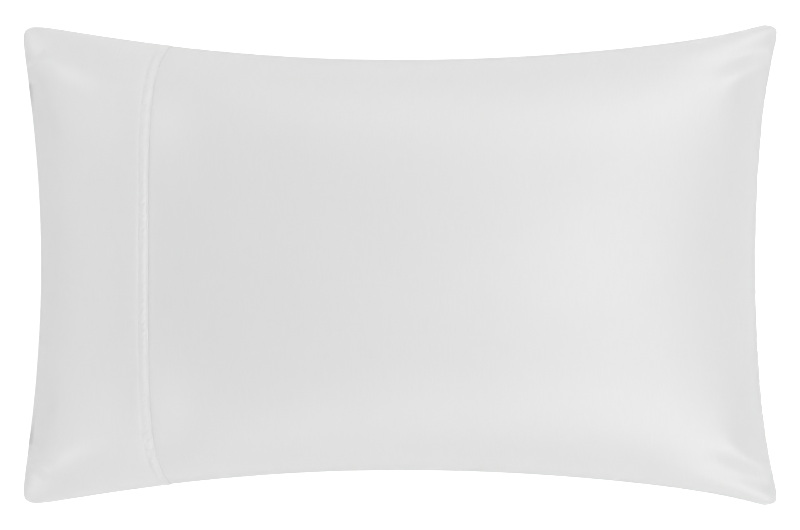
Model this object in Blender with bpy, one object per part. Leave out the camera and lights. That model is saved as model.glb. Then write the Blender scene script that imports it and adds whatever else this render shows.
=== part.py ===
"""A filled pillowcase with a deep sewn-on cuff, lying on its back with its front face up.

Metres, +Z up. The length runs along X, with the cuff and its mouth towards -X, and the width
along Y. The origin is under the middle of the case, on the surface that it lies on.

Two pieces of cloth are cut for it. The main cloth is sewn shut along its two long sides and its
far end, and is full of its pillow, so it is one filled solid. The cuff is a tube of doubled cloth
that is sewn round the filled end, and it stays open as the mouth of the case.
"""

import math

import bmesh
import bpy
from mathutils import Vector

# ---- Driving dimensions: the outline of the filled case, seen from above ----------------------
# A case cut 0.75 long and 0.50 wide comes to about this when a pillow swells it.
MOUTH_REACH = 0.3454  # from the origin to the mouth, on the middle line
END_REACH = 0.3437  # from the origin to the sewn end, on the middle line
HALF_WIDTH = 0.1982  # from the middle line to a long side, at the origin
MOUTH_BOW = 0.0231  # how far the mouth's corners stand out past its middle, along X
MOUTH_BOW_POWER = 2.0  # how late that bow starts from the middle line
END_BOW = 0.0190  # how far the sewn corners stand out past the end's middle, along X
END_FLICK = 0.0128  # how much further their folds push the sewn corners out, along X
END_FLICK_POWER = 5  # how close to the corner that push keeps
SIDE_BOW_TO_MOUTH = 0.0376  # how far the long sides spread from the origin to the mouth
SIDE_BOW_TO_END = 0.0340  # how far the long sides spread from the origin to the sewn end
SIDE_FLICK = 0.0120  # how much further the sewn corners are pushed out, along Y
SIDE_FLICK_POWER = 11  # how close to the corner that push keeps
MOUTH_CORNER_CUT = (0.0086, 0.0062)  # how far rounding pulls in the mouth's corners, X and Y
END_CORNER_CUT = (0.0208, 0.0126)  # how far rounding pulls in the sewn corners, X and Y
CORNER_REACH = 0.0070  # how far from a corner its rounding reaches

# ---- Driving dimensions: height ---------------------------------------------------------------
SEAM_HEIGHT = 0.072  # the side seams, above the surface that the case lies on
CORNER_DROOP = 0.016  # how far the corners hang below the middle of the seams
CORNER_DROOP_POWER = 4  # how close to the corners that droop keeps
FRONT_CROWN = 0.096  # the front face, above the seams
BACK_CROWN = 0.088  # the back face, below the seams, before the surface flattens it
RESTING_BLEND = 0.006  # how softly the back face meets the surface
CROWN_POWER = (2.7, 2.6)  # how flat the crown is along X and Y
CROWN_EDGE = (0.60, 0.58)  # how steeply the crown falls to the seams along X and Y

# ---- Driving dimensions: the cuff and the layers of cloth -------------------------------------
CUFF_SEAM = 0.2356  # from the origin to the cuff's seam, on the middle line
CUFF_SEAM_BOW = 0.0155  # how much nearer to the origin the seam lies at the long sides
CUFF_SEAM_BOW_POWER = 7  # how late that bow starts from the middle line
SEAM_VALLEY = 0.0062  # how deep the cuff's seam draws the filled case in
VALLEY_REACH = (0.012, 0.028)  # how far that valley spreads towards the mouth and towards the end
EDGE_THICKNESS = 0.0048  # both layers and the slit between them, at the mouth
CUFF_CLOTH = 0.0013  # the doubled cloth of the cuff
CUFF_PROUD = 0.0007  # how far the cuff stands above the main cloth at its seam
CORE_GAP = 0.0007  # between the cuff and the filled end inside it
SEAM_GAP = 0.0004  # between the cuff's edge and the main cloth
LIFT_SHARE = 0.25  # the share of the crown from which an inner layer lies on the whole cloth

# ---- The strip of sewing along the cuff's seam ------------------------------------------------
TOPSTITCH_FROM_SEAM = 0.0080  # the row of topstitching
TOPSTITCH_HALF_WIDTH = 0.0018  # how wide a groove the row makes, to each side
TOPSTITCH_SINK = 0.0007  # how deep the row pulls the cloth in
TOPSTITCH_RIM = 0.0003  # how far the cloth rises on the row's outer side
STRIP_SWELL = 0.0004  # how far the seam allowance swells the cloth between the row and the seam

# name, distance before the seam, how far the cloth is raised there
STRIP = (
    ("rim", TOPSTITCH_FROM_SEAM + TOPSTITCH_HALF_WIDTH, TOPSTITCH_RIM),
    ("row", TOPSTITCH_FROM_SEAM, -TOPSTITCH_SINK),
    ("inner side of the row", TOPSTITCH_FROM_SEAM - TOPSTITCH_HALF_WIDTH, 0.0),
    ("swell", TOPSTITCH_FROM_SEAM / 2, STRIP_SWELL),
    ("folded edge", 0.0, 0.0),
)

# ---- The main creases, on each half of the width ----------------------------------------------
# name, half width at its start and end, height (a trough's is negative), route in x and |y|
CREASES = (
    ("end corner ridge", 0.0320, 0.0150, 0.0082, ((0.225, 0.205), (0.296, 0.217), (0.362, 0.234))),
    ("end corner trough", 0.0110, 0.0080, -0.0016, ((0.278, 0.176), (0.318, 0.195), (0.338, 0.205))),
    ("end corner lesser ridge", 0.0180, 0.0110, 0.0070, ((0.284, 0.158), (0.328, 0.182), (0.357, 0.195))),
    ("mouth corner bump", 0.0100, 0.0090, 0.0034, ((-0.318, 0.205), (-0.352, 0.190))),
    ("mouth corner crease", 0.0050, 0.0050, -0.0028, ((-0.3355, 0.2120), (-0.356, 0.1945))),
    ("mouth dimple", 0.0130, 0.0090, -0.0070, ((-0.334, 0.098), (-0.343, 0.134), (-0.355, 0.172))),
    ("cuff ridge", 0.0220, 0.0180, 0.0032, ((-0.240, 0.160), (-0.290, 0.172), (-0.345, 0.195))),
)
CREASE_RISE = 0.55  # the share of its route over which a crease rises to its full height
CREASE_FADE = 0.06  # the share of the crown under which a crease dies out towards the seams
BACK_CREASE_SHARE = 0.5  # how strong the creases are on the back face

# ---- How finely the cloth is divided ----------------------------------------------------------
ROWS = 36  # across the width
CUFF_COLUMNS = 12  # from the mouth to the topstitched strip
BODY_COLUMNS = 40  # from the cuff's seam to the sewn end
CROWDING = 0.55  # how much closer the rows and columns stand near the seams

CLOTH_WHITE = (0.80, 0.80, 0.80, 1.0)
CLOTH_ROUGHNESS = 0.55
SHARP_ANGLE = math.radians(50)  # an edge that turns more than this is shaded sharp

CORE = CUFF_CLOTH + CORE_GAP
FRONT, BACK = 1, -1
LAST_CUFF_COLUMN = CUFF_COLUMNS + len(STRIP) - 1
REBATE_COLUMN = LAST_CUFF_COLUMN + 1

def mix(a, b, share):
    return a + (b - a) * share

def crowd_both_ends(t):
    """t from -1 to 1, with its steps closer together near both ends."""
    return mix(t, math.sin(t * math.pi / 2), CROWDING)

def crowd_end(t):
    """t from 0 to 1, with its steps closer together near 1."""
    return mix(t, math.sin(t * math.pi / 2), CROWDING)

def reach_along(u, v):
    """The distance from the origin to the mouth or to the sewn end, at v across the width."""
    if u < 0:
        return MOUTH_REACH + MOUTH_BOW * abs(v) ** MOUTH_BOW_POWER
    return END_REACH + END_BOW * v * v + END_FLICK * abs(v) ** END_FLICK_POWER

def reach_across(u):
    """The distance from the middle line to a long side, at u along the length."""
    if u < 0:
        return HALF_WIDTH + SIDE_BOW_TO_MOUTH * u * u
    return HALF_WIDTH + SIDE_BOW_TO_END * u * u + SIDE_FLICK * u**SIDE_FLICK_POWER

def corner_rounding(u, v):
    """How far a point moves in, along X and along Y, where the outline's corner is rounded."""
    nearness = abs(u * v) ** (HALF_WIDTH / CORNER_REACH)
    cut_x, cut_y = MOUTH_CORNER_CUT if u < 0 else END_CORNER_CUT
    return cut_x * nearness, cut_y * nearness

def crown(u, v):
    """The share of the full crown at u along the length and v across the width."""
    along = max(0.0, 1 - abs(u) ** CROWN_POWER[0]) ** CROWN_EDGE[0]
    across = max(0.0, 1 - abs(v) ** CROWN_POWER[1]) ** CROWN_EDGE[1]
    return along * across

def crease_height(x, y):
    """The sum of the creases, which rise from their start. Both halves of the width are alike."""
    point = Vector((x, abs(y)))
    total = 0.0
    for _, start_width, end_width, height, route in CREASES:
        corners = [Vector(corner) for corner in route]
        whole = corners[-1] - corners[0]
        share = min(1.0, max(0.0, (point - corners[0]).dot(whole) / whole.length_squared))
        nearest = math.inf
        for start, end in zip(corners, corners[1:]):
            run = end - start
            on = min(1.0, max(0.0, (point - start).dot(run) / run.length_squared))
            nearest = min(nearest, (point - start - run * on).length)
        rise = math.sin(math.pi / 2 * min(1.0, share / CREASE_RISE)) ** 2
        total += height * rise * math.exp(-((nearest / mix(start_width, end_width, share)) ** 2))
    return total

def seam_valley(u, v):
    """How deep the cuff's seam draws the case in, which fades out towards the long sides."""
    past_seam = (u - seam_u(v)) * MOUTH_REACH
    to_mouth = (max(0.0, -past_seam) / VALLEY_REACH[0]) ** 1.3
    to_end = (max(0.0, past_seam) / VALLEY_REACH[1]) ** 2
    full = min(1.0, max(0.0, (crown(u, v) - 0.25) / 0.45))
    return SEAM_VALLEY * math.exp(-to_mouth - to_end) * full * full * (3 - 2 * full)

def rest_on_surface(z):
    """A height with all below the surface pressed flat onto it, and a soft bend between."""
    if z <= -RESTING_BLEND:
        return 0.0
    if z >= RESTING_BLEND:
        return z
    return (z + RESTING_BLEND) ** 2 / (4 * RESTING_BLEND)

def place(u, v, side, depth, relief=0.0):
    """The point of a layer of the case.

    u runs from -1 at the mouth to 1 at the sewn end, and v from -1 to 1 across the width. side is
    FRONT or BACK. depth is how far inside the cuff's outer face the layer lies, and relief raises
    it a little, as sewing does. All layers bend together at a crease.
    """
    rounding_x, rounding_y = corner_rounding(u, v)
    outer_x = u * (reach_along(u, v) - rounding_x)
    outer_y = v * (reach_across(u) - rounding_y)
    x = outer_x - u * depth
    y = outer_y - v * depth
    share = crown(u, v)
    seam = SEAM_HEIGHT - CORNER_DROOP * (u * v) ** CORNER_DROOP_POWER
    edge = EDGE_THICKNESS / 2 - depth
    crease = crease_height(outer_x, outer_y) * min(1.0, share / CREASE_FADE) - seam_valley(u, v)
    if side == FRONT:
        return Vector((x, y, seam + edge + (FRONT_CROWN - depth) * share + crease + relief))
    swell = edge + (BACK_CROWN - depth) * share + BACK_CREASE_SHARE * crease + relief
    under = max(0.0, depth - CUFF_PROUD)  # the cloth between this layer and the surface
    lift = under * min(1.0, share / LIFT_SHARE)
    return Vector((x, y, rest_on_surface(seam - swell - lift) + lift))

def seam_u(v):
    """Where the cuff's seam lies at v across the width, as a share of the way to the mouth."""
    return -(CUFF_SEAM - CUFF_SEAM_BOW * abs(v) ** CUFF_SEAM_BOW_POWER) / reach_along(-1, v)

def cuff_column(i, v):
    """u and relief of the cuff's column i at v. The last ones are the strip of sewing."""
    edge = seam_u(v)
    if i < CUFF_COLUMNS:
        strip_start = edge - STRIP[0][1] / MOUTH_REACH
        return mix(strip_start, -1.0, crowd_end(1 - i / CUFF_COLUMNS)), 0.0
    _, before, relief = STRIP[i - CUFF_COLUMNS]
    return edge - before / MOUTH_REACH, relief

def body_column(i, v):
    """u and depth of the filled body's column i at v: inside the cuff, at its seam, or beyond."""
    edge = seam_u(v)
    if i <= LAST_CUFF_COLUMN:
        return cuff_column(i, v)[0], CORE
    if i == REBATE_COLUMN:
        return edge + SEAM_GAP / MOUTH_REACH, CORE
    start = edge + 2 * SEAM_GAP / MOUTH_REACH
    share = (i - REBATE_COLUMN - 1) / BODY_COLUMNS
    return mix(start, 1.0, crowd_end(share)), CUFF_PROUD

def cloth_material(name):
    material = bpy.data.materials.new(name)
    material.use_nodes = True
    shader = material.node_tree.nodes["Principled BSDF"]
    shader.inputs["Base Color"].default_value = CLOTH_WHITE
    shader.inputs["Roughness"].default_value = CLOTH_ROUGHNESS
    shader.inputs["Metallic"].default_value = 0.0
    return material

def add_piece(name, shape, collection):
    """One named object from a finished bmesh, shaded smooth but for its sharp edges."""
    bmesh.ops.triangulate(shape, faces=shape.faces, quad_method="SHORT_EDGE")
    bmesh.ops.recalc_face_normals(shape, faces=shape.faces)
    mesh = bpy.data.meshes.new(name)
    shape.to_mesh(mesh)
    shape.free()
    mesh.materials.append(cloth_material(name))
    mesh.shade_smooth()
    mesh.set_sharp_from_angle(angle=SHARP_ANGLE)
    collection.objects.link(bpy.data.objects.new(name, mesh))

def flat_grid(columns, rows):
    """A flat grid whose points sit at whole numbers: x is the column and y the row."""
    grid = bmesh.new()
    bmesh.ops.create_grid(grid, x_segments=columns, y_segments=rows, size=1.0)
    for vertex in grid.verts:
        vertex.co.x = round((vertex.co.x + 1) / 2 * columns)
        vertex.co.y = round((vertex.co.y + 1) / 2 * rows)
    return grid

def thicken(grid):
    """Extrudes a grid into a closed wall and returns its first and its second layer of points."""
    first = list(grid.verts)
    extruded = bmesh.ops.extrude_face_region(grid, geom=list(grid.faces))["geom"]
    second = [item for item in extruded if isinstance(item, bmesh.types.BMVert)]
    return first, second

def build_filled_body(collection):
    """The main cloth and the pillow in it: a front and a back panel, joined along their rim."""
    grid = flat_grid(REBATE_COLUMN + 1 + BODY_COLUMNS, ROWS)
    back, front = thicken(grid)
    for side, panel in ((BACK, back), (FRONT, front)):
        for vertex in panel:
            v = crowd_both_ends(2 * vertex.co.y / ROWS - 1)
            u, depth = body_column(round(vertex.co.x), v)
            vertex.co = place(u, v, side, depth)
    add_piece("filled_body", grid, collection)

def build_cuff(collection):
    """The cuff: a grid rolled into a tube round the filled end, with an outer and an inner wall."""
    around = 2 * (ROWS + 1)
    tube = flat_grid(LAST_CUFF_COLUMN, around)
    first_row = {vertex.co.x: vertex for vertex in tube.verts if vertex.co.y == 0}
    closing = {vertex: first_row[vertex.co.x] for vertex in tube.verts if vertex.co.y == around}
    bmesh.ops.weld_verts(tube, targetmap=closing)
    outer, inner = thicken(tube)
    for depth, wall in ((0.0, outer), (CUFF_CLOTH, inner)):
        for vertex in wall:
            side = FRONT if vertex.co.y <= ROWS else BACK
            across = vertex.co.y if side == FRONT else around - 1 - vertex.co.y
            v = crowd_both_ends(2 * across / ROWS - 1)
            u, relief = cuff_column(round(vertex.co.x), v)
            vertex.co = place(u, v, side, depth, relief if wall is outer else 0.0)
    add_piece("cuff", tube, collection)

def main():
    for old in list(bpy.data.objects):
        bpy.data.objects.remove(old)
    collection = bpy.data.collections.new("Filled pillowcase")
    bpy.context.scene.collection.children.link(collection)
    build_filled_body(collection)
    build_cuff(collection)

main()
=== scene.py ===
"""The looks of a filled pillowcase with a deep sewn-on cuff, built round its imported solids.

Metres, +Z up. The length runs along X, with the cuff and its mouth towards -X, and the width
along Y. The case lies on its back on z = 0, so its front faces up.

The form is drafted as a front and a back that meet along their seams. The filling then settles
in it by cloth simulation, and every layer of cloth follows what the simulation moved.
"""

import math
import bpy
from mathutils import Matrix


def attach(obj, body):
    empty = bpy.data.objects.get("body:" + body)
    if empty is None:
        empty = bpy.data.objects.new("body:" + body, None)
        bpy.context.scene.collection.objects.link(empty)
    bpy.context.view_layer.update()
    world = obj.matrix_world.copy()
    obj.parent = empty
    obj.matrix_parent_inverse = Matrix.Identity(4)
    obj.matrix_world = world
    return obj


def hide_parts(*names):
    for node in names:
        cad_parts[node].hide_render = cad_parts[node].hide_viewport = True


bl_info = {
    "name": "Filled pillowcase",
    "version": (1, 0, 0),
    "blender": (4, 5, 0),
    "location": "3D View > Sidebar > Pillowcase",
    "description": "Makes a filled pillowcase with its cuff, topstitching and a studio stage",
    "category": "Object",
}

import bmesh
import bpy
import numpy as np
from bpy.props import FloatProperty, FloatVectorProperty, IntProperty, PointerProperty
from mathutils import Euler, Matrix, Vector

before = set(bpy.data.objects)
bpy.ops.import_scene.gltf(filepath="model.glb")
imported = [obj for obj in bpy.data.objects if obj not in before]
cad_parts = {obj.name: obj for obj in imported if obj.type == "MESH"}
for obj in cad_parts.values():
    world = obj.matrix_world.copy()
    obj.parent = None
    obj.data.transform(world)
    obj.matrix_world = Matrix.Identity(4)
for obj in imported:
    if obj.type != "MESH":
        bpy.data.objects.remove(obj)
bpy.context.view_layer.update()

# ---- The drafted form: the same values as the solids have ----
MOUTH_REACH = 0.3454  # from the origin to the mouth, on the middle line
END_REACH = 0.3437  # from the origin to the sewn end, on the middle line
HALF_WIDTH = 0.1982  # from the middle line to a long side, at the origin
MOUTH_BOW = 0.0231  # how far the mouth's corners stand out past its middle
MOUTH_BOW_POWER = 2.0  # how late that bow starts from the middle line
END_BOW = 0.0190  # how far the sewn corners stand out past the end's middle
END_FLICK = 0.0128  # how much further their folds push the sewn corners out, along X
END_FLICK_POWER = 5  # how close to the corner that push keeps
SIDE_BOW_TO_MOUTH = 0.0376  # how far the long sides spread from the origin to the mouth
SIDE_BOW_TO_END = 0.0340  # how far the long sides spread from the origin to the sewn end
SIDE_FLICK = 0.0120  # how much further the sewn corners are pushed out, along Y
SIDE_FLICK_POWER = 11  # how close to the corner that push keeps
MOUTH_CORNER_CUT = (0.0086, 0.0062)  # how far rounding pulls in the mouth's corners, X and Y
END_CORNER_CUT = (0.0208, 0.0126)  # how far rounding pulls in the sewn corners, X and Y
CORNER_REACH = 0.0070  # how far from a corner its rounding reaches
SEAM_HEIGHT = 0.072  # the side seams, above the floor
CORNER_DROOP = 0.016  # how far the corners hang below the middle of the seams
CORNER_DROOP_POWER = 4  # how close to the corners that droop keeps
FRONT_CROWN = 0.096  # the front face, above the seams
BACK_CROWN = 0.088  # the back face, below the seams, before the floor flattens it
RESTING_BLEND = 0.006  # how softly the back face meets the floor
CROWN_POWER = (2.7, 2.6)  # how flat the crown is along X and Y
CROWN_EDGE = (0.60, 0.58)  # how steeply the crown falls to the seams along X and Y
CUFF_SEAM = 0.2356  # from the origin to the cuff's seam, on the middle line
CUFF_SEAM_BOW = 0.0155  # how much nearer to the origin the seam lies at the long sides
CUFF_SEAM_BOW_POWER = 7  # how late that bow starts from the middle line
SEAM_VALLEY = 0.0062  # how deep the cuff's seam draws the filled case in
VALLEY_REACH = (0.012, 0.028)  # how far that valley spreads towards the mouth and towards the end
VALLEY_POWER = (1.3, 2)  # how round its two slopes are, in the same order
VALLEY_CROWN = (0.25, 0.45)  # the share of the crown where it starts, and over which it deepens
EDGE_THICKNESS = 0.0048  # both layers and the slit between them, at the mouth
CUFF_CLOTH = 0.0013  # the doubled cloth of the cuff
CUFF_PROUD = 0.0007  # how far the cuff stands above the main cloth at its seam
CORE_GAP = 0.0007  # between the cuff and the filled end inside it
CORE = CUFF_CLOTH + CORE_GAP  # how deep the filled end lies
LIFT_SHARE = 0.25  # the share of the crown from which an inner layer lies on the whole cloth

# name, half width at its start and end, height (a trough's is negative), route in x and |y|
CREASES = (
    ("end corner ridge", 0.0320, 0.0150, 0.0082, ((0.225, 0.205), (0.296, 0.217), (0.362, 0.234))),
    ("end corner trough", 0.0110, 0.0080, -0.0016, ((0.278, 0.176), (0.318, 0.195), (0.338, 0.205))),
    ("end corner lesser ridge", 0.0180, 0.0110, 0.0070,
        ((0.284, 0.158), (0.328, 0.182), (0.357, 0.195))),
    ("mouth corner bump", 0.0100, 0.0090, 0.0034, ((-0.318, 0.205), (-0.352, 0.190))),
    ("mouth corner crease", 0.0050, 0.0050, -0.0028, ((-0.3355, 0.2120), (-0.356, 0.1945))),
    ("mouth dimple", 0.0130, 0.0090, -0.0070, ((-0.334, 0.098), (-0.343, 0.134), (-0.355, 0.172))),
    ("cuff ridge", 0.0220, 0.0180, 0.0032, ((-0.240, 0.160), (-0.290, 0.172), (-0.345, 0.195))),
)
CREASE_RISE = 0.55  # the share of its route over which a crease rises to its full height
CREASE_FADE = 0.06  # the share of the crown under which a crease dies out towards the seams
BACK_CREASE_SHARE = 0.5  # how strong the creases are on the back face

# ---- Cutting and sewing ----
ROW_FROM_SEAM = 0.0080  # the row of topstitching, before the cuff's folded edge
ROW_WIDTH = 0.0007  # half the width of the groove that the row's own thread makes
ROW_PULL = 0.0007  # how deep the row draws the cuff's cloth in beside it
ROW_PULL_REACH = 0.0030  # how far that pull spreads towards the mouth
STRIP_BULGE = 0.0012  # how high the cloth swells between the row and the folded edge
STRIP_EDGE_DROP = 0.0007  # how much lower than the plain cloth the folded edge lies
EDGE_RISE = 0.0008  # over this the main cloth rises to the cuff's surface, just inside the seam
GROOVE_SHARE = 0.2  # the share of a closing seam's roll that the groove in its middle takes up
STITCH_RAISE = 0.3  # how far a stitch's middle stands out of the cloth, in thread widths
STITCH_HEIGHT = 0.9  # a stitch's height, in thread widths
STITCH_LEAN = 7  # degrees that a stitch leans off its row
STITCH_RUN = 0.0008  # either side of a stitch, from which the row's direction there is taken

# each pucker wave's count round the seam, strength and seed
STRIP_PUCKERS = ((131, 1.0, 1.0), (236, 0.5, 2.0))  # between the row and the folded edge
STRIP_SLANT = 0.9  # how far they slant, as turns round the cuff in each metre before the seam
CUFF_PUCKERS = ((83, 1.0, 2.3), (51, 0.7, 0.4))  # from the row towards the mouth
CUFF_PUCKER_SHARE = 0.6  # their height, as a share of that of the strip's puckers
CUFF_PUCKER_REACH = (0.002, 0.012)  # where they are full, and how far they spread from the row
PANEL_PUCKERS = ((74, 1.0, 0.7), (41, 0.6, 1.9))  # from the seam along the main cloth
PANEL_PUCKER_SHARE = 0.55  # their height, as a share of that of the strip's puckers
PANEL_PUCKER_REACH = (0.0015, 0.011)  # where they are full, and how far they spread from the seam
WAVE_DRIFT = ((0.11, 1.1), (0.23, 0.7))  # slower waves, as a share of the count, and their shift
WAVE_SWELL = (0.07, 0.35)  # a slower wave that swells and lowers the crests, and how much

UNEVENNESS = 0.0005  # the height of the main cloth's slow unevenness
UNEVENNESS_REACH = (0.02, 0.3)  # full this far past the seam, and from this share of the crown
RIM_RELIEF = (0.3, 0.35)  # the relief's share at the cuff's rim, and the crown where it is whole
LYING_HEIGHT = (0.004, 0.01)  # the cuff's relief starts this high on its back, and grows over this
PRESSED_HEIGHT = 0.02  # the floor presses the back face smooth up to this height

# ---- How finely the cloth is divided ----
FINE_POINTS = 6001  # along a run of cloth before it is divided evenly
SEAM_STEPS = (  # the main cloth's columns beside the cuff's seam, from just inside it
    -0.0008, -0.0005, -0.0002, 0.0, 0.0002, 0.0004, 0.0007,
    0.0011, 0.0016, 0.0023, 0.0032, 0.0044, 0.0060, 0.0080,
)
HIDDEN_STEPS = 12  # along the filled end, inside the cuff
CUFF_STEP = 0.0042  # between the cuff's columns, away from its seam
STRIP_WIDTH = 0.0170  # the finely divided strip of cloth along the cuff's seam
STRIP_STEP = 0.0006  # between the cuff's columns in that strip
LAST_COLUMN = 0.0006  # from the cuff's last flat column to its seam, where the folded edge turns
CUFF_ROW_STEP = 0.00095  # between the cuff's rows, which carry its puckers
CUFF_ROW_LINE = -0.85  # u of the line across the cuff along which those rows are even
INNER_STEPS = 16  # along the cuff's inner side
FOLD_STEPS = 6  # round the cuff's folded edges
ROLL_STEPS = 8  # round the seams along the long sides and the end

# ---- How the filling settles ----
SETTLING_CLOTH = {
    "quality": 6,
    "mass": 0.25,
    "tension_stiffness": 20,
    "compression_stiffness": 12,
    "shear_stiffness": 6,
    "bending_stiffness": 0.6,
}
HELD_HEIGHT = 0.001  # the floor holds the settling cloth up to this height
SETTLING_FADE = 0.35  # the share of the crown under which the settling dies out towards the seams
SETTLING_SMOOTHING = 6  # how often each point of the coarse cloth is evened with its neighbours

FRONT, BACK = 1, -1
settled = {}  # what the settling moved: the coarse u and v, and one field for each side


# ---- The form ----
def mix(a, b, share):
    return a + (b - a) * share


def eased(share):
    """A share from 0 to 1 that starts and ends softly."""
    return share * share * (3 - 2 * share)


def unit(vectors):
    return vectors / np.maximum(np.linalg.norm(vectors, axis=-1, keepdims=True), 1e-12)


def reach_along(u, v):
    """The distance from the origin to the mouth or to the sewn end, at v across the width."""
    to_mouth = MOUTH_REACH + MOUTH_BOW * np.abs(v) ** MOUTH_BOW_POWER
    to_end = END_REACH + END_BOW * v * v + END_FLICK * np.abs(v) ** END_FLICK_POWER
    return np.where(u < 0, to_mouth, to_end)


def reach_across(u):
    """The distance from the middle line to a long side, at u along the length."""
    to_mouth = HALF_WIDTH + SIDE_BOW_TO_MOUTH * u * u
    to_end = HALF_WIDTH + SIDE_BOW_TO_END * u * u + SIDE_FLICK * u**SIDE_FLICK_POWER
    return np.where(u < 0, to_mouth, to_end)


def crown(u, v):
    """The share of the full crown at u along the length and v across the width."""
    along = np.clip(1 - np.abs(u) ** CROWN_POWER[0], 0, None) ** CROWN_EDGE[0]
    across = np.clip(1 - np.abs(v) ** CROWN_POWER[1], 0, None) ** CROWN_EDGE[1]
    return along * across


def crease_height(x, y):
    """The height of the main creases, which rise from their start, alike on both halves."""
    total = np.zeros_like(x)
    for _, start_width, end_width, height, route in CREASES:
        corners = np.array(route)
        whole = corners[-1] - corners[0]
        share = (x - corners[0, 0]) * whole[0] + (np.abs(y) - corners[0, 1]) * whole[1]
        share = np.clip(share / (whole @ whole), 0, 1)
        nearest = np.full_like(x, np.inf)
        for start, run in zip(corners, np.diff(corners, axis=0)):
            off_x, off_y = x - start[0], np.abs(y) - start[1]
            on = np.clip((off_x * run[0] + off_y * run[1]) / (run @ run), 0, 1)
            nearest = np.minimum(nearest, (off_x - run[0] * on) ** 2 + (off_y - run[1] * on) ** 2)
        rise = np.sin(np.pi / 2 * np.minimum(1, share / CREASE_RISE)) ** 2
        total += height * rise * np.exp(-nearest / mix(start_width, end_width, share) ** 2)
    return total


def seam_valley(u, v):
    """How deep the cuff's seam draws the case in, which fades out towards the long sides."""
    past_seam = (u - seam_u(v)) * MOUTH_REACH
    to_mouth = (np.maximum(-past_seam, 0) / VALLEY_REACH[0]) ** VALLEY_POWER[0]
    to_end = (np.maximum(past_seam, 0) / VALLEY_REACH[1]) ** VALLEY_POWER[1]
    full = np.clip((crown(u, v) - VALLEY_CROWN[0]) / VALLEY_CROWN[1], 0, 1)
    return SEAM_VALLEY * np.exp(-to_mouth - to_end) * eased(full)


def rest_on_floor(z):
    """Heights with all below the floor pressed flat onto it, and a soft bend between."""
    bend = (z + RESTING_BLEND) ** 2 / (4 * RESTING_BLEND)
    return np.where(z <= -RESTING_BLEND, 0.0, np.where(z >= RESTING_BLEND, z, bend))


def drafted(u, v, side, depth=0.0, creased=True):
    """Points of the drafted form, before the filling settles, with x, y and z last.

    u runs from -1 at the mouth to 1 at the sewn end, and v from -1 to 1 across the width. depth
    is how far inside the cuff's outer face the layer lies.
    """
    nearness = np.abs(u * v) ** (HALF_WIDTH / CORNER_REACH)
    cut_x = np.where(u < 0, MOUTH_CORNER_CUT[0], END_CORNER_CUT[0])
    cut_y = np.where(u < 0, MOUTH_CORNER_CUT[1], END_CORNER_CUT[1])
    outer_x = u * (reach_along(u, v) - cut_x * nearness)
    outer_y = v * (reach_across(u) - cut_y * nearness)
    share = crown(u, v)
    seam = SEAM_HEIGHT - CORNER_DROOP * (u * v) ** CORNER_DROOP_POWER
    edge = EDGE_THICKNESS / 2 - depth
    crease = crease_height(outer_x, outer_y) * np.minimum(1, share / CREASE_FADE)
    crease = creased * (crease - seam_valley(u, v))
    if side == FRONT:
        z = seam + edge + (FRONT_CROWN - depth) * share + crease
    else:
        swell = edge + (BACK_CROWN - depth) * share + BACK_CREASE_SHARE * crease
        under = np.maximum(0, depth - CUFF_PROUD)
        lift = under * np.minimum(1, share / LIFT_SHARE)
        z = rest_on_floor(seam - swell - lift) + lift
    return np.stack([outer_x - u * depth, outer_y - v * depth, z], axis=-1)


def smooth_weights(t):
    """The four weights of a smooth curve through evenly spaced values, at t past the second."""
    first = ((2 - t) * t - 1) * t / 2
    second = (3 * t - 5) * t * t / 2 + 1
    third = ((4 - 3 * t) * t + 1) * t / 2
    return first, second, third, (t - 1) * t * t / 2


def settled_move(u, v, side):
    """How far the settling moves the cloth at u and v, read smoothly from the coarse cloth."""
    if not settled:
        return 0.0
    field = settled[side]
    columns, rows = field.shape[:2]
    column = np.interp(u, settled["u"], np.arange(columns))
    row = np.interp(v, settled["v"], np.arange(rows))
    i = np.clip(np.floor(column).astype(int), 0, columns - 2)
    j = np.clip(np.floor(row).astype(int), 0, rows - 2)
    total = 0.0
    for a, along in enumerate(smooth_weights(column - i)):
        for b, across in enumerate(smooth_weights(row - j)):
            near = field[np.clip(i + a - 1, 0, columns - 1), np.clip(j + b - 1, 0, rows - 1)]
            total = total + (along * across)[..., None] * near
    return total


def place(u, v, side, depth=0.0):
    """Points of a layer of the settled case."""
    u, v, depth = np.broadcast_arrays(np.float64(u), np.float64(v), np.float64(depth))
    return drafted(u, v, side, depth) + settled_move(u, v, side)


def outward(u, v):
    """The level direction out of the case at its rim, where u or v is -1 or 1."""
    small = 1e-3
    along = place(np.minimum(u + small, 1), v, FRONT) - place(np.maximum(u - small, -1), v, FRONT)
    across = place(u, np.minimum(v + small, 1), FRONT) - place(u, np.maximum(v - small, -1), FRONT)
    side_way = np.sign(v) * (np.abs(v) == 1)
    end_way = np.sign(u) * (np.abs(u) == 1)
    flat = np.zeros_like(along)
    along[..., 2] = across[..., 2] = 0
    along, across = unit(along), unit(across)
    flat[..., 0] = -side_way * along[..., 1] + end_way * across[..., 1]
    flat[..., 1] = side_way * along[..., 0] - end_way * across[..., 0]
    return unit(flat)


def layer(u, v, turn, depth, roll, groove):
    """Points of a layer that goes right round the case.

    turn is 1 on the front, -1 on the back, and between them on the way round the rim, where the
    seam allowance makes a double roll with the seam's groove in its middle.
    """
    front, back = place(u, v, FRONT, depth), place(u, v, BACK, depth)
    fullness = roll * np.sin(np.pi * turn) ** 2 - groove * np.exp(-((turn / GROOVE_SHARE) ** 2))
    fullness = fullness * (np.abs(turn) < 1) * (1 - 2 * depth / EDGE_THICKNESS)
    return mix(back, front, ((turn + 1) / 2)[..., None]) + outward(u, v) * fullness[..., None]


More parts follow.
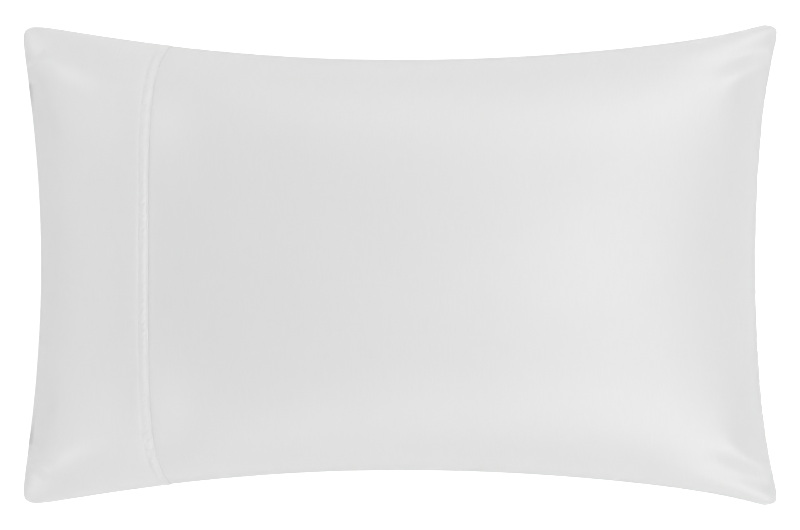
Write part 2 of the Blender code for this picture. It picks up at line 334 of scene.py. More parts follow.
def even_steps(point_at, start, end, step):
    """Values from start to end that lie about a step apart on the cloth."""
    fine = mix(start, end, (1 - np.cos(np.linspace(0, np.pi, FINE_POINTS))) / 2)
    walked = walk(point_at(fine))
    count = max(2, round(walked[-1] / step))
    return np.interp(np.linspace(0, walked[-1], count + 1), walked, fine)


def walk(points, axis=0):
    """The distance walked along a run of points, from the first one."""
    steps = np.linalg.norm(np.diff(points, axis=axis), axis=-1)
    start = np.zeros_like(steps.take([0], axis=axis))
    return np.concatenate([start, np.cumsum(steps, axis=axis)], axis=axis)


def seam_u(v):
    """Where the cuff's seam lies at v across the width, as a share of the way to the mouth."""
    return -(CUFF_SEAM - CUFF_SEAM_BOW * np.abs(v) ** CUFF_SEAM_BOW_POWER) / reach_along(-1, v)


def surface_normals(points, closed):
    """The direction out of the cloth at each point of a lattice, whose second axis runs round."""
    along = np.gradient(points, axis=0)
    if closed:
        across = np.roll(points, -1, axis=1) - np.roll(points, 1, axis=1)
    else:
        across = np.gradient(points, axis=1)
    return unit(np.cross(along, across))


# ---- Meshes ----
def flat_grid(columns, rows):
    """A flat grid whose points sit at whole numbers: x is the column and y the row."""
    grid = bmesh.new()
    bmesh.ops.create_grid(grid, x_segments=columns, y_segments=rows, size=1.0)
    for vertex in grid.verts:
        vertex.co.x = round((vertex.co.x + 1) / 2 * columns)
        vertex.co.y = round((vertex.co.y + 1) / 2 * rows)
    return grid


def closed_pillow(columns, rows, roll_steps):
    """A flat grid thickened into a closed skin, with z from 0 at its back to 1 at its front."""
    skin = flat_grid(columns, rows)
    for face in skin.faces:
        face.normal_flip()
    moved = bmesh.ops.extrude_face_region(skin, geom=list(skin.faces))["geom"]
    front = [item for item in moved if isinstance(item, bmesh.types.BMVert)]
    bmesh.ops.translate(skin, verts=front, vec=(0, 0, 1))
    rim = [edge for edge in skin.edges if edge.verts[0].co.z != edge.verts[1].co.z]
    if roll_steps > 1:
        bmesh.ops.subdivide_edges(skin, edges=rim, cuts=roll_steps - 1, use_grid_fill=True)
    bmesh.ops.recalc_face_normals(skin, faces=skin.faces)
    return skin


def closed_tube(columns, rows):
    """A flat grid welded into a ring both ways, as a hollow tube's wall is."""
    skin = flat_grid(columns, rows)
    for axis, count in ((0, columns), (1, rows)):
        first = {vertex.co[1 - axis]: vertex for vertex in skin.verts if vertex.co[axis] == 0}
        last = [vertex for vertex in skin.verts if vertex.co[axis] == count]
        welds = {vertex: first[vertex.co[1 - axis]] for vertex in last}
        bmesh.ops.weld_verts(skin, targetmap=welds)
    return skin


def mesh_from(name, skin):
    """A mesh from a bmesh, which is freed."""
    mesh = bpy.data.meshes.new(name)
    skin.to_mesh(mesh)
    skin.free()
    return mesh


def add_object(name, data):
    """A new object in the scene, which shows a mesh, a lamp or a camera."""
    added = bpy.data.objects.new(name, data)
    bpy.context.scene.collection.objects.link(added)
    return added


def points_of(mesh):
    """x, y and z of each of a mesh's points."""
    flat = np.empty(len(mesh.vertices) * 3)
    mesh.vertices.foreach_get("co", flat)
    return flat.reshape(-1, 3)


def move_points(mesh, points):
    """Puts a mesh's points where they belong."""
    mesh.vertices.foreach_set("co", points.astype(np.float32).ravel())
    mesh.update()


def lattice_of(mesh):
    """The whole-number column and row and the height of each of a mesh's points."""
    column, row, height = points_of(mesh).T
    return np.rint(column).astype(int), np.rint(row).astype(int), height


def finish_piece(name, skin, points_at, cloth_at, material):
    """A named object from a lattice bmesh: its points, its cloth's own UV map and its material.

    points_at and cloth_at each take the lattice's columns, rows and heights. cloth_at gives the
    place on the flat cloth, in metres.
    """
    mesh = mesh_from(name, skin)
    lattice = lattice_of(mesh)
    move_points(mesh, points_at(*lattice))
    corner = np.empty(len(mesh.loops), dtype=np.int32)
    mesh.loops.foreach_get("vertex_index", corner)
    cloth = mesh.uv_layers.new(name="cloth")
    cloth.uv.foreach_set("vector", cloth_at(*lattice)[corner].astype(np.float32).ravel())
    mesh.materials.append(material)
    mesh.shade_smooth()
    return add_object(name, mesh)


# ---- The filling settles ----
def settle_filling(sizes):
    """Blows the drafted form up from inside with its rim held, and keeps how far it moved."""
    u = even_steps(lambda t: place(t, 0.0, FRONT), -1, 1, sizes.cloth_step)
    v = even_steps(lambda t: place(0.0, t, FRONT), -1, 1, sizes.cloth_step)
    columns, rows = len(u) - 1, len(v) - 1
    mesh = mesh_from("settling", closed_pillow(columns, rows, 1))
    i, j, height = lattice_of(mesh)
    on_front = height > 0.5
    drafted_points = np.where(
        on_front[:, None],
        drafted(u[i], v[j], FRONT, creased=False),
        drafted(u[i], v[j], BACK, creased=False),
    )
    move_points(mesh, drafted_points)
    cloth = add_object("settling", mesh)
    held = (i == 0) | (i == columns) | (j == 0) | (j == rows) | (drafted_points[:, 2] < HELD_HEIGHT)
    group = cloth.vertex_groups.new(name="held")
    group.add([int(k) for k in np.flatnonzero(held)], 1.0, "REPLACE")
    filling = cloth.modifiers.new("filling", "CLOTH")
    for name, value in SETTLING_CLOTH.items():
        setattr(filling.settings, name, value)
    filling.settings.vertex_group_mass = "held"
    filling.settings.use_pressure = True
    filling.settings.uniform_pressure_force = sizes.pressure
    filling.settings.effector_weights.gravity = 0.0
    filling.collision_settings.use_collision = False
    filling.point_cache.frame_start = 1
    filling.point_cache.frame_end = sizes.frames
    scene = bpy.context.scene
    for number in range(1, sizes.frames + 1):
        scene.frame_set(number)
    blown = cloth.evaluated_get(bpy.context.evaluated_depsgraph_get()).data
    moved = points_of(blown) - drafted_points
    far = np.linalg.norm(moved, axis=1, keepdims=True)
    moved = moved * np.minimum(1, sizes.most_movement / np.maximum(far, 1e-9))
    moved[~on_front] *= np.clip(drafted_points[~on_front, 2:] / PRESSED_HEIGHT, 0, 1)
    fade = np.clip(crown(u[:, None], v[None]) / SETTLING_FADE, 0, 1)[..., None]
    for side, chosen in ((FRONT, on_front), (BACK, ~on_front)):
        field = np.zeros((columns + 1, rows + 1, 3))
        field[i[chosen], j[chosen]] = moved[chosen]
        for _ in range(SETTLING_SMOOTHING):
            around = field[:-2, 1:-1] + field[2:, 1:-1] + field[1:-1, :-2] + field[1:-1, 2:]
            field[1:-1, 1:-1] = field[1:-1, 1:-1] / 2 + around / 8
        settled[side] = field * fade
    settled["u"], settled["v"] = u, v
    scene.frame_set(1)
    bpy.data.objects.remove(cloth)
    bpy.data.meshes.remove(mesh)


# ---- The pieces of cloth ----
def irregular_wave(share, waves, seed):
    """A wave that goes a whole number of times round, with uneven lengths and heights."""
    angle = 2 * np.pi * share
    drift = 0
    for number, (slower, shift) in enumerate(WAVE_DRIFT, 1):
        drift = drift + shift * np.sin(angle * round(waves * slower) + number * seed)
    slower, swell = WAVE_SWELL
    height = 1 - swell + swell * np.sin(angle * round(waves * slower) + 3 * seed)
    return np.sin(angle * waves + drift) * height


def puckers(share, waves, side=FRONT):
    """The sum of several irregular waves, each with its count, strength and seed."""
    return sum(
        strength * irregular_wave(share, number, seed * side) for number, strength, seed in waves
    )


def spread(distance, reach):
    """A share that grows over the first reach and then dies out over the second."""
    return np.exp(-distance / reach[1]) * np.clip(distance / reach[0], 0, 1)


def slow_unevenness(x, y):
    """The faint, wide unevenness of a filled cloth, from -1 to 1.

    Crossed waves, with their radians in each metre and their starts.
    """
    first = np.sin(31 * x + 1.7 * np.sin(17 * y + 0.5))
    first = first * np.sin(27 * y + 1.3 * np.sin(14 * x + 2.1))
    second = np.sin(53 * x - 41 * y + 0.8) * np.sin(23 * x + 37 * y + 1.9)
    return 0.6 * first + 0.4 * second


def main_cloth_columns(v, step):
    """u for each column and row of the main cloth, and how far past the cuff's seam it lies."""
    edge = seam_u(v)[None]
    near = np.array(SEAM_STEPS)[:, None] / MOUTH_REACH
    last = float(seam_u(0.0) + near[-1, 0])
    inside = np.sin(np.linspace(np.pi / 2, 0, HIDDEN_STEPS + 1)[:-1])
    beyond = even_steps(lambda t: place(t, 0.0, FRONT), last, 1, step)[1:]
    u = np.concatenate([
        mix(edge + near[0], -1.0, inside[:, None]),
        edge + near,
        mix(edge + near[-1], 1.0, ((beyond - last) / (1 - last))[:, None]),
    ])
    return u, (u - edge) * MOUTH_REACH


def main_cloth_piece(cloth_looks, sewing, filling):
    """The main cloth with its filling: a front and a back panel with a rolled seam round them."""
    row_v = even_steps(lambda t: place(0.0, t, FRONT), -1, 1, filling.panel_step)
    u, past_seam = main_cloth_columns(row_v, filling.panel_step)
    v = np.broadcast_to(row_v, u.shape)
    rise = np.clip((past_seam + EDGE_RISE) / EDGE_RISE, 0, 1)
    depth = mix(CORE, CUFF_PROUD, eased(rise))
    columns, rows = u.shape[0] - 1, u.shape[1] - 1

    levels = []
    for turn in np.linspace(-1, 1, ROLL_STEPS + 1):
        points = layer(u, v, np.full(u.shape, turn), depth, sewing.seam_roll, sewing.seam_groove)
        if abs(turn) == 1:
            points = points + main_cloth_relief(points, u, v, past_seam, sewing, turn)
        levels.append(points)
    levels = np.array(levels)

    def points_at(i, j, height):
        return levels[np.rint(height * ROLL_STEPS).astype(int), i, j]

    middle = int(np.argmin(np.abs(u[:, 0])))
    flat_x = walk(levels[-1], axis=0)
    flat_x = flat_x - flat_x[middle]
    flat_y = walk(levels[-1], axis=1)
    flat_y = flat_y - flat_y[:, [rows // 2]]

    def cloth_at(i, j, height):
        return np.stack([flat_x[i, j], flat_y[i, j]], axis=-1)

    skin = closed_pillow(columns, rows, ROLL_STEPS)
    material = cloth_material("main_cloth", cloth_looks, cloth_looks.main_colour)
    return finish_piece("main_cloth", skin, points_at, cloth_at, material)


def main_cloth_relief(points, u, v, past_seam, sewing, turn):
    """The low relief of a panel: puckers that leave the cuff's seam, and a faint unevenness."""
    normals = surface_normals(points, closed=False) * np.sign(turn)
    if turn < 0:
        normals = np.where(points[..., 2:] < PRESSED_HEIGHT, 0, normals)
    seam_column = int(np.argmin(np.abs(past_seam[:, 0])))
    walked = walk(points[seam_column])
    share = (walked / walked[-1])[None]
    waves = puckers(share, PANEL_PUCKERS, turn)
    waves = waves * spread(np.maximum(past_seam, 0), PANEL_PUCKER_REACH)
    height = sewing.pucker * PANEL_PUCKER_SHARE * waves
    shown = np.clip(past_seam / UNEVENNESS_REACH[0], 0, 1)
    shown = shown * np.clip(crown(u, v) / UNEVENNESS_REACH[1], 0, 1)
    uneven = slow_unevenness(points[..., 0], points[..., 1] * turn)
    return normals * (height + UNEVENNESS * uneven * shown)[..., None]


def cuff_ring():
    """v across the width and the turn from front to back, for each row round the cuff."""
    front = even_steps(lambda t: place(CUFF_ROW_LINE, t, FRONT), -1, 1, CUFF_ROW_STEP)
    turns = np.linspace(1, -1, ROLL_STEPS + 1)[1:-1]
    v = np.concatenate([front, np.ones(len(turns)), front[::-1], -np.ones(len(turns))])
    turn = np.concatenate([np.ones(len(front)), turns, -np.ones(len(front)), turns[::-1]])
    return v, turn


def fold(outer_edge, inner_edge, onward, steps):
    """The points round a folded edge, from the outer wall to the inner one."""
    middle = (outer_edge + inner_edge) / 2
    half = outer_edge - middle
    along_half = np.sum(onward * half, axis=-1) / np.sum(half * half, axis=-1)
    onward = unit(onward - half * along_half[..., None])
    size = np.linalg.norm(half, axis=-1)[..., None]
    angles = np.linspace(0, np.pi, steps + 2)[1:-1]
    return np.array([middle + half * math.cos(a) + onward * size * math.sin(a) for a in angles])


def cuff_relief(before_seam, share, sewing):
    """How far the sewing raises the cuff's outer side."""
    before_row = np.maximum(before_seam - ROW_FROM_SEAM, 0)
    row = sewing.row_depth * np.exp(-(((before_seam - ROW_FROM_SEAM) / ROW_WIDTH) ** 2))
    across = np.clip(before_seam / ROW_FROM_SEAM, 0, 1)
    strip = mix(-STRIP_EDGE_DROP, -ROW_PULL, across) + STRIP_BULGE * np.sin(np.pi * across)
    pull = np.where(before_row > 0, -ROW_PULL * np.exp(-before_row / ROW_PULL_REACH), strip)
    short = puckers(share + before_seam * STRIP_SLANT, STRIP_PUCKERS) * np.sin(np.pi * across)
    wide = puckers(share, CUFF_PUCKERS) * spread(before_row, CUFF_PUCKER_REACH)
    return pull - row + sewing.pucker * (short + CUFF_PUCKER_SHARE * wide)


def cuff_outer_wall(sewing):
    """u, v and the turn, the points with the sewing's relief, and their distance from the seam."""
    v, turn = cuff_ring()
    edge = seam_u(v)
    strip_start = edge - STRIP_WIDTH / MOUTH_REACH
    middle_start = float(seam_u(0.0)) - STRIP_WIDTH / MOUTH_REACH
    deep = even_steps(lambda t: place(t, 0.0, FRONT), -1, middle_start, CUFF_STEP)
    shares = (deep + 1) / (deep[-1] + 1)
    u_deep = mix(-1.0, strip_start[None], shares[:-1, None])
    before = np.linspace(STRIP_WIDTH, LAST_COLUMN, round(STRIP_WIDTH / STRIP_STEP))
    u_strip = edge[None] - before[:, None] / MOUTH_REACH
    u = np.concatenate([u_deep, u_strip])
    v, turn = np.broadcast_to(v, u.shape), np.broadcast_to(turn, u.shape)
    points = layer(u, v, turn, np.zeros(u.shape), sewing.seam_roll / 2, sewing.seam_groove)
    before_seam = (edge[None] - u) * MOUTH_REACH
    walked = walk(np.concatenate([points[-1], points[-1, :1]]))
    share = (walked[:-1] / walked[-1])[None]
    lying = np.clip((points[..., 2] - LYING_HEIGHT[0]) / LYING_HEIGHT[1], 0, 1)
    flattened = mix(RIM_RELIEF[0], 1, np.clip(crown(u, v) / RIM_RELIEF[1], 0, 1))
    height = cuff_relief(before_seam, share, sewing) * flattened * np.where(turn < 0, lying, 1)
    outer = points + surface_normals(points, closed=True) * height[..., None]
    return u, v, turn, outer, before_seam


def cuff_piece(cloth_looks, sewing):
    """The cuff: a strip of doubled cloth sewn into a tube, open at the mouth."""
    u, v, turn, outer, _ = cuff_outer_wall(sewing)
    u_inner = mix(u[-1], -1.0, np.linspace(0, 1, INNER_STEPS + 1)[:, None])
    v_inner = np.broadcast_to(v[0], u_inner.shape)
    turn_inner = np.broadcast_to(turn[0], u_inner.shape)
    inner = layer(u_inner, v_inner, turn_inner, np.full(u_inner.shape, CUFF_CLOTH), 0.0, 0.0)
    at_seam = fold(outer[-1], inner[0], outer[-1] - outer[-3], FOLD_STEPS)
    at_mouth = fold(inner[-1], outer[0], outer[0] - outer[1], FOLD_STEPS)
    profile = np.concatenate([outer, at_seam, inner, at_mouth])
    columns, rows = profile.shape[:2]
    skin = closed_tube(columns, rows)

    def points_at(i, j, height):
        return profile[i % columns, j % rows]

    closed = np.concatenate([profile, profile[:1]])
    flat_x = walk(closed, axis=0)
    flat_y = walk(closed, axis=1)

    def cloth_at(i, j, height):
        return np.stack([flat_x[i, j % rows], flat_y[i % columns, j % rows]], axis=-1)

    material = cloth_material("cuff_cloth", cloth_looks, cloth_looks.cuff_colour)
    return finish_piece("cuff_cloth", skin, points_at, cloth_at, material)


def topstitching_piece(cloth_looks, sewing):
    """The row of stitches that holds the cuff's seam allowance down, all the way round."""
    _, _, _, outer, before_seam = cuff_outer_wall(sewing)
    column = int(np.argmin(np.abs(before_seam[:, 0] - ROW_FROM_SEAM)))
    normals = surface_normals(outer, closed=True)
    line = outer[column] + normals[column] * STITCH_RAISE * sewing.thread
    walked = walk(np.concatenate([line, line[:1]]))
    count = round(walked[-1] / (sewing.stitch_length + sewing.stitch_gap))
    stations = (np.arange(count) + 0.5) * walked[-1] / count

    def along_row(values, where):
        looped = np.concatenate([values, values[:1]])
        return np.stack([np.interp(where, walked, part) for part in looped.T], axis=-1)

    centres = along_row(line, stations)
    ways = unit(along_row(line, stations + STITCH_RUN) - along_row(line, stations - STITCH_RUN))
    ups = unit(along_row(normals[column], stations))
    thread = bmesh.new()
    half = Vector((sewing.stitch_length, sewing.thread, sewing.thread * STITCH_HEIGHT)) / 2
    lean = Matrix.Rotation(math.radians(STITCH_LEAN), 3, "Z")
    for centre, way, up in zip(centres, ways, ups):
        x_axis = Vector(way)
        y_axis = Vector(up).cross(x_axis).normalized()
        z_axis = x_axis.cross(y_axis)
        turned = Matrix((x_axis, y_axis, z_axis)).transposed() @ lean @ Matrix.Diagonal(half)
        bmesh.ops.create_uvsphere(
            thread, u_segments=6, v_segments=6, radius=1.0,
            matrix=Matrix.Translation(centre) @ turned.to_4x4(),
        )
    mesh = mesh_from("topstitching", thread)
    mesh.materials.append(thread_material(cloth_looks))
    mesh.shade_smooth()
    return add_object("topstitching", mesh)


# ---- Materials ----
SHAFTS = 5.0  # threads in one repeat of the sateen weave
FLOAT_STEP = 2.0  # threads by which each float is set off from its neighbour's
FLOAT_LENGTH = 0.4  # the lower, the longer each float stays up between its ties
FLOAT_SMOOTHNESS = 0.06  # how much smoother the floats are than the cloth between them
SLUB_SCALE = (1400.0, 45.0, 1.0)  # slubs to the metre, across and along the threads
SLUB_SHADE = 0.05  # how far they lighten and darken the cloth, as a share of its tone
CRINKLE_SCALE = 60.0  # crinkles to the metre
PATCH_SIZE = 0.11  # the size of the soft patches of tone
TWIST_SCALE = 700.0  # how close the turns of the sewing thread lie
TWIST_DEPTH = 0.00004  # how deep they are


def fill_inputs(tree, node, inputs):
    """Gives a node's inputs, by label or number, their sockets to read or their plain values."""
    for label, value in inputs.items():
        if isinstance(value, bpy.types.NodeSocket):
            tree.links.new(value, node.inputs[label])
        else:
            node.inputs[label].default_value = value


def add_node(tree, kind, inputs, **settings):
    """A new node of a kind, with its settings and its inputs."""
    node = tree.nodes.new(kind)
    for name, value in settings.items():
        setattr(node, name, value)
    fill_inputs(tree, node, inputs)
    return node


def math_node(tree, operation, *inputs):
    """The output of a Math node."""
    return add_node(tree, "ShaderNodeMath", dict(enumerate(inputs)), operation=operation).outputs[0]


def bump_node(tree, distance, inputs):
    """The normal that a Bump node puts out, at full strength unless its inputs give another."""
    inputs = {"Strength": 1.0, "Distance": distance, **inputs}
    return add_node(tree, "ShaderNodeBump", inputs).outputs["Normal"]


def new_group(name, inputs, outputs):
    """An empty node group that reads a vector and (name, default) numbers, and puts out numbers."""
    group = bpy.data.node_groups.new(name, "ShaderNodeTree")
    group.interface.new_socket("Vector", in_out="INPUT", socket_type="NodeSocketVector")
    for label, default in inputs:
        socket = group.interface.new_socket(label, in_out="INPUT", socket_type="NodeSocketFloat")
        socket.default_value = default
    for label in outputs:
        group.interface.new_socket(label, in_out="OUTPUT", socket_type="NodeSocketFloat")
    return group, group.nodes.new("NodeGroupInput"), group.nodes.new("NodeGroupOutput")


def sateen_weave_group():
    """Five-shaft sateen: long floats over four threads, each tied down under the fifth."""
    if "Sateen weave" in bpy.data.node_groups:
        return bpy.data.node_groups["Sateen weave"]
    group, given, result = new_group(
        "Sateen weave", [("Thread pitch", 0.00025)], ["Height", "Float"])
    split = add_node(group, "ShaderNodeSeparateXYZ", {0: given.outputs["Vector"]})
    along, across = (
        math_node(group, "DIVIDE", split.outputs[axis], given.outputs["Thread pitch"])
        for axis in ("Y", "X"))
    step = math_node(group, "MULTIPLY", math_node(group, "FLOOR", across), FLOAT_STEP)
    stepped = math_node(group, "DIVIDE", math_node(group, "ADD", along, step), SHAFTS)
    lifted, rounded = (
        math_node(
            group, "SINE",
            math_node(group, "MULTIPLY", math_node(group, "FRACT", way), math.pi))
        for way in (stepped, across))
    long_float = math_node(group, "POWER", lifted, FLOAT_LENGTH)
    height = math_node(group, "MULTIPLY", rounded, long_float)
    fill_inputs(group, result, {"Height": height, "Float": long_float})
    return group


def cloth_tone_group():
    """Soft patches and slubs that keep a plain cloth from being one flat tone, and its crinkle."""
    if "Cloth tone" in bpy.data.node_groups:
        return bpy.data.node_groups["Cloth tone"]
    group, given, result = new_group(
        "Cloth tone", [("Patch size", 0.12)], ["Patches", "Slubs", "Crinkle"])
    vector = given.outputs["Vector"]
    stretched = add_node(group, "ShaderNodeMapping", {"Vector": vector, "Scale": SLUB_SCALE})
    patch_scale = math_node(group, "DIVIDE", 1.0, given.outputs["Patch size"])
    for label, inputs in (
        ("Patches", {"Vector": vector, "Scale": patch_scale, "Detail": 3.0}),
        ("Slubs", {"Vector": stretched.outputs["Vector"], "Scale": 1.0, "Detail": 2.0}),
        ("Crinkle", {"Vector": vector, "Scale": CRINKLE_SCALE, "Detail": 3.0, "Distortion": 0.6}),
    ):
        noise = add_node(group, "ShaderNodeTexNoise", inputs)
        fill_inputs(group, result, {label: noise.outputs["Fac"]})
    return group


def new_material(name):
    """A material, its node tree and its shader."""
    material = bpy.data.materials.new(name)
    material.use_nodes = True
    return material, material.node_tree, material.node_tree.nodes["Principled BSDF"]


def cloth_material(name, looks, colour):
    """White cotton sateen, with its weave, faint tone and crinkle on the cloth's own UV map."""
    material, tree, shader = new_material(name)
    on_cloth = add_node(tree, "ShaderNodeUVMap", {}, uv_map="cloth").outputs["UV"]
    weave = add_node(
        tree, "ShaderNodeGroup", {"Vector": on_cloth, "Thread pitch": looks.thread_pitch},
        node_tree=sateen_weave_group())
    tone = add_node(
        tree, "ShaderNodeGroup", {"Vector": on_cloth, "Patch size": PATCH_SIZE},
        node_tree=cloth_tone_group())
    darker, lighter = (
        (*[min(1, c * (1 + way * looks.variation)) for c in colour], 1) for way in (-1, 1))
    tint = add_node(
        tree, "ShaderNodeMix", {"Factor": tone.outputs["Patches"]}, data_type="RGBA")
    fill_inputs(tree, tint, {6: darker, 7: lighter})
    slubs = math_node(
        tree, "MULTIPLY_ADD", tone.outputs["Slubs"], SLUB_SHADE, 1 - SLUB_SHADE / 2)
    shaded = add_node(
        tree, "ShaderNodeVectorMath", {0: tint.outputs[2], "Scale": slubs}, operation="SCALE")
    rough = math_node(
        tree, "MULTIPLY_ADD", weave.outputs["Float"], -FLOAT_SMOOTHNESS, looks.roughness)
    crinkled = bump_node(tree, looks.crinkle_depth, {"Height": tone.outputs["Crinkle"]})
    woven = bump_node(
        tree, looks.weave_depth, {"Height": weave.outputs["Height"], "Normal": crinkled})
    fill_inputs(tree, shader, {
        "Base Color": shaded.outputs[0],
        "Roughness": rough,
        "Metallic": 0.0,
        "Specular IOR Level": looks.gloss,
        "Sheen Weight": looks.sheen,
        "Sheen Roughness": 0.45,
        "Normal": woven,
    })
    return material


def thread_material(looks):
    """Polished white sewing thread, twisted round itself."""
    material, tree, shader = new_material("sewing_thread")
    place_on_piece = add_node(tree, "ShaderNodeTexCoord", {}).outputs["Object"]
    twist = add_node(
        tree, "ShaderNodeTexWave", {"Vector": place_on_piece, "Scale": TWIST_SCALE},
        bands_direction="DIAGONAL")
    fill_inputs(tree, shader, {
        "Base Color": (*looks.thread_colour, 1),
        "Roughness": 0.42,
        "Sheen Weight": looks.sheen,
        "Normal": bump_node(tree, TWIST_DEPTH, {"Height": twist.outputs["Fac"], "Strength": 0.5}),
    })
    return material


# ---- The stage ----
# name, direction round the case and height above it, both in degrees, power in watts
LIGHTS = (
    ("right_window", 0, 60, 13.8),
    ("far_right_window", 40, 30, 9.9),
    ("near_right_window", -40, 30, 9.9),
    ("far_side_window", 65, 42, 10.1),
    ("near_side_window", -65, 42, 10.1),
    ("far_side_fill", 90, 22, 8.6),
    ("near_side_fill", -90, 22, 8.6),
    ("far_left_fill", 140, 22, 14.8),
    ("near_left_fill", -140, 22, 14.8),
    ("left_fill", 180, 20, 6.8),
)
LIGHT_DISTANCE = 2.2  # from the middle of the case to each softbox
SOFTBOX_SIZE = 1.2  # each softbox's width and height
FLOOR_REACH = 4.0  # from the floor's middle to its edges
FLOOR_DROP = 0.0006  # how far the floor lies below the cloth, so that the two don't share a face
CAMERA_SHIFT = 0.0005  # how far the camera stands from the origin towards the sewn end


def seen_strength(tree, strength):
    """A strength of light that only the camera sees."""
    seen = add_node(tree, "ShaderNodeLightPath", {}).outputs["Is Camera Ray"]
    return math_node(tree, "MULTIPLY", seen, strength)


def floor_piece(stage):
    """A wide pale floor, whose glow whitens it without lighting the case."""
    grid = bmesh.new()
    bmesh.ops.create_grid(grid, x_segments=1, y_segments=1, size=FLOOR_REACH)
    bmesh.ops.translate(grid, verts=grid.verts, vec=(0, 0, -FLOOR_DROP))
    mesh = mesh_from("floor", grid)
    material, tree, shader = new_material("floor")
    fill_inputs(tree, shader, {
        "Base Color": (*stage.floor_colour, 1),
        "Roughness": 0.9,
        "Specular IOR Level": 0.1,
        "Emission Color": (1, 1, 1, 1),
        "Emission Strength": seen_strength(tree, stage.floor_glow),
    })
    mesh.materials.append(material)
    return add_object("floor", mesh)


def lights_and_camera(stage):
    """The softboxes round the case, a backdrop beyond the floor, and a camera straight above."""
    scene = bpy.context.scene
    for name, direction, height, power in LIGHTS:
        lamp = bpy.data.lights.new(name, "AREA")
        lamp.size = SOFTBOX_SIZE
        lamp.energy = power * stage.brightness
        way = Vector((LIGHT_DISTANCE, 0, 0))
        way.rotate(Euler((0, -math.radians(height), math.radians(direction))))
        softbox = add_object(name, lamp)
        softbox.location = way + Vector((0, 0, SEAM_HEIGHT))
        softbox.rotation_euler = way.to_track_quat("Z", "Y").to_euler()
    scene.world = bpy.data.worlds.new("studio")
    scene.world.use_nodes = True
    tree = scene.world.node_tree
    fill_inputs(tree, tree.nodes["Background"], {
        "Color": (1, 1, 1, 1),
        "Strength": seen_strength(tree, stage.backdrop),
    })
    scene.view_settings.view_transform = "Standard"
    lens = bpy.data.cameras.new("camera")
    lens.lens = stage.lens
    lens.sensor_width = 36
    scene.camera = add_object("camera", lens)
    scene.camera.location = (CAMERA_SHIFT, 0, SEAM_HEIGHT + stage.camera_height)


# ---- The add-on ----
COLOUR = {"subtype": "COLOR", "size": 3, "min": 0, "max": 1}
SHARE = {"subtype": "FACTOR", "min": 0, "max": 1}
LENGTH = {"unit": "LENGTH", "min": 0, "precision": 4}
FINE_LENGTH = {"unit": "LENGTH", "min": 0, "precision": 6}


class PillowcaseCloth(bpy.types.PropertyGroup):
    main_colour: FloatVectorProperty(
        name="Main cloth", description="Colour of the main cloth",
        default=(0.72, 0.72, 0.72), **COLOUR)
    cuff_colour: FloatVectorProperty(
        name="Cuff", description="Colour of the cuff's cloth",
        default=(0.73, 0.73, 0.73), **COLOUR)
    thread_colour: FloatVectorProperty(
        name="Thread", description="Colour of the sewing thread",
        default=(0.76, 0.76, 0.76), **COLOUR)
    variation: FloatProperty(
        name="Tone variation", description="How far the cloth's tone strays, as a share of it",
        default=0.015, min=0, max=0.2)
    roughness: FloatProperty(
        name="Roughness", description="Roughness of the cloth between its raised floats",
        default=0.47, **SHARE)
    gloss: FloatProperty(
        name="Gloss", description="How strongly the cloth shines",
        default=0.65, **SHARE)
    sheen: FloatProperty(
        name="Sheen", description="The soft light along the cloth's turned edges",
        default=0.12, **SHARE)
    thread_pitch: FloatProperty(
        name="Thread pitch", description="Distance between two threads of the weave",
        default=0.00028, unit="LENGTH", min=0.0001, max=0.002, precision=5)
    weave_depth: FloatProperty(
        name="Weave depth", description="How far the weave's floats stand up",
        default=0.000012, max=0.0005, **FINE_LENGTH)
    crinkle_depth: FloatProperty(
        name="Crinkle depth", description="How deep the cloth's faint crinkles are",
        default=0.00006, max=0.001, **FINE_LENGTH)


class PillowcaseSewing(bpy.types.PropertyGroup):
    seam_roll: FloatProperty(
        name="Seam roll", description="How far the seam allowance fills out the closing seams",
        default=0.0007, max=0.003, **LENGTH)
    seam_groove: FloatProperty(
        name="Seam groove", description="How deep the seam draws in between its two rolls",
        default=0.0007, max=0.003, **LENGTH)
    pucker: FloatProperty(
        name="Pucker", description="Height of the small puckers along the cuff's seam",
        default=0.00026, max=0.002, **FINE_LENGTH)
    row_depth: FloatProperty(
        name="Row depth", description="How deep the topstitching pulls the cloth in",
        default=0.00024, max=0.001, **FINE_LENGTH)
    stitch_length: FloatProperty(
        name="Stitch length", description="Length of one stitch",
        default=0.0025, unit="LENGTH", min=0.001, max=0.006, precision=4)
    stitch_gap: FloatProperty(
        name="Stitch gap", description="Distance between two stitches",
        default=0.0005, unit="LENGTH", min=0.0001, max=0.004, precision=4)
    thread: FloatProperty(
        name="Thread width", description="Width of the sewing thread",
        default=0.00035, unit="LENGTH", min=0.0001, max=0.001, precision=5)


class PillowcaseFilling(bpy.types.PropertyGroup):
    pressure: FloatProperty(
        name="Pressure", description="How hard the filling presses on the cloth",
        default=4.0, min=0, max=20)
    most_movement: FloatProperty(
        name="Most movement", description="How far the filling may move the cloth",
        default=0.005, max=0.03, **LENGTH)
    frames: IntProperty(
        name="Frames", description="How long the filling settles, in frames",
        default=20, min=2, max=60)
    cloth_step: FloatProperty(
        name="Settling step", description="Distance between the points of the settling cloth",
        default=0.006, unit="LENGTH", min=0.003, max=0.03, precision=4)
    panel_step: FloatProperty(
        name="Panel step", description="Distance between the points of the finished panels",
        default=0.0029, unit="LENGTH", min=0.002, max=0.02, precision=4)
    fill: FloatProperty(
        name="Fill", description="How full the case is, from slack to tight",
        default=0.8, **SHARE)


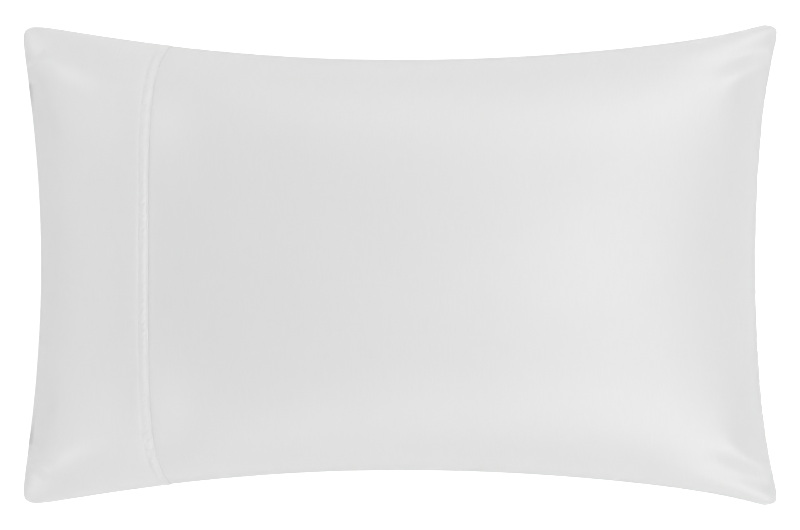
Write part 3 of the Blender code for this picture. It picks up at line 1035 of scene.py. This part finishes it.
class PillowcaseStage(bpy.types.PropertyGroup):
    floor_colour: FloatVectorProperty(
        name="Floor", description="Colour of the floor",
        default=(0.8, 0.8, 0.8), **COLOUR)
    floor_glow: FloatProperty(
        name="Floor glow", description="How brightly the floor glows, for the camera alone",
        default=0.7, min=0, max=2)
    brightness: FloatProperty(
        name="Brightness", description="Strength of all lamps together",
        default=1.0, min=0, max=10)
    backdrop: FloatProperty(
        name="Backdrop", description="How bright it is beyond the floor, for the camera alone",
        default=0.8, min=0, max=2)
    lens: FloatProperty(
        name="Lens", description="Focal length of the camera in millimetres",
        default=100.0, min=10, max=300)
    camera_height: FloatProperty(
        name="Camera height", description="Height of the camera above the seams",
        default=2.144, unit="LENGTH", min=0.5, max=10)


class PILLOWCASE_OT_settle(bpy.types.Operator):
    """Settle the filling in the drafted case by cloth simulation"""

    bl_idname = "pillowcase.settle"
    bl_label = "Settle the filling"

    def execute(self, context):
        settle_filling(context.scene.pillowcase_filling)
        return {"FINISHED"}


class PILLOWCASE_OT_main_cloth(bpy.types.Operator):
    """Make the main cloth, full of its pillow"""

    bl_idname = "pillowcase.main_cloth"
    bl_label = "Main cloth"

    def execute(self, context):
        scene = context.scene
        piece = main_cloth_piece(
            scene.pillowcase_cloth, scene.pillowcase_sewing, scene.pillowcase_filling)
        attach(piece, "root")
        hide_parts("filled_body")
        return {"FINISHED"}


class PILLOWCASE_OT_cuff(bpy.types.Operator):
    """Make the cuff and the row of stitches along its seam"""

    bl_idname = "pillowcase.cuff"
    bl_label = "Cuff and topstitching"

    def execute(self, context):
        scene = context.scene
        stitches = topstitching_piece(scene.pillowcase_cloth, scene.pillowcase_sewing)
        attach(stitches, "root")
        cuff = cuff_piece(scene.pillowcase_cloth, scene.pillowcase_sewing)
        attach(cuff, "root")
        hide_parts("cuff")
        return {"FINISHED"}


class PILLOWCASE_OT_stage(bpy.types.Operator):
    """Make the floor, the lights and the camera"""

    bl_idname = "pillowcase.stage"
    bl_label = "Studio stage"

    def execute(self, context):
        stage = context.scene.pillowcase_stage
        floor_piece(stage)
        lights_and_camera(stage)
        return {"FINISHED"}


class PILLOWCASE_PT_panel(bpy.types.Panel):
    bl_idname = "PILLOWCASE_PT_panel"
    bl_label = "Filled pillowcase"
    bl_space_type = "VIEW_3D"
    bl_region_type = "UI"
    bl_category = "Pillowcase"

    def draw(self, context):
        for label, group, operators in PANEL_ROWS:
            box = self.layout.box()
            box.label(text=label)
            settings = getattr(context.scene, group)
            for name in settings.__annotations__:
                box.prop(settings, name)
            for operator in operators:
                box.operator(operator)


PANEL_ROWS = (
    ("Filling", "pillowcase_filling", ("pillowcase.settle",)),
    ("Cloth", "pillowcase_cloth", ("pillowcase.main_cloth",)),
    ("Sewing", "pillowcase_sewing", ("pillowcase.cuff",)),
    ("Stage", "pillowcase_stage", ("pillowcase.stage",)),
)
SETTINGS = (
    ("pillowcase_cloth", PillowcaseCloth),
    ("pillowcase_sewing", PillowcaseSewing),
    ("pillowcase_filling", PillowcaseFilling),
    ("pillowcase_stage", PillowcaseStage),
)
CLASSES = (
    *(group for _, group in SETTINGS),
    PILLOWCASE_OT_settle,
    PILLOWCASE_OT_main_cloth,
    PILLOWCASE_OT_cuff,
    PILLOWCASE_OT_stage,
    PILLOWCASE_PT_panel,
)


def register():
    for each in CLASSES:
        bpy.utils.register_class(each)
    for name, group in SETTINGS:
        setattr(bpy.types.Scene, name, PointerProperty(type=group))


def unregister():
    for name, _ in SETTINGS:
        delattr(bpy.types.Scene, name)
    for each in reversed(CLASSES):
        bpy.utils.unregister_class(each)


def main():
    register()
    bpy.ops.pillowcase.settle()
    bpy.ops.pillowcase.main_cloth()
    bpy.ops.pillowcase.cuff()
    bpy.ops.pillowcase.stage()


if __name__ == "__main__":
    main()
